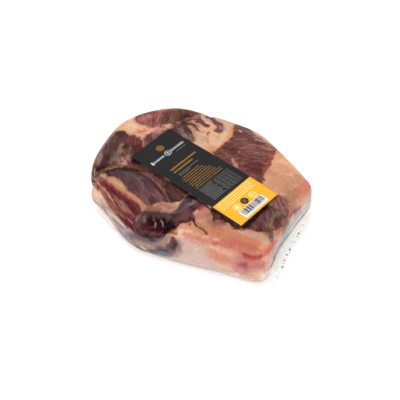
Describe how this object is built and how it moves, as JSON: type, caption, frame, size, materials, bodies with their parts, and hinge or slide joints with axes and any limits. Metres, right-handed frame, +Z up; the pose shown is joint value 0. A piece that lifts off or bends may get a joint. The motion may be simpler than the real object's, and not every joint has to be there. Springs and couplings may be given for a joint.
{
  "type": "boneless shoulder ham in a vacuum bag",
  "caption": "Boneless cured shoulder ham, skin-tight in a clear vacuum bag with a toothed end seal, lying flat with a plain two-colour paper label on top.",
  "frame": {"origin": "middle of the bounding box, on the underside that the pack lies on", "axes": "+X along the ham towards the toothed seal of the bag, +Y away from the straight near side, +Z up through the label"},
  "size_m": [0.235, 0.1878, 0.053],
  "materials": {
    "meat_under_film": "dark red muscle and cream fat under tight clear film",
    "printed_paper": "smooth coated paper, printed black and yellow"
  },
  "bodies": {
    "root": {"vacuum_bag": "meat_under_film", "label": "printed_paper"}
  },
  "joints": []
}
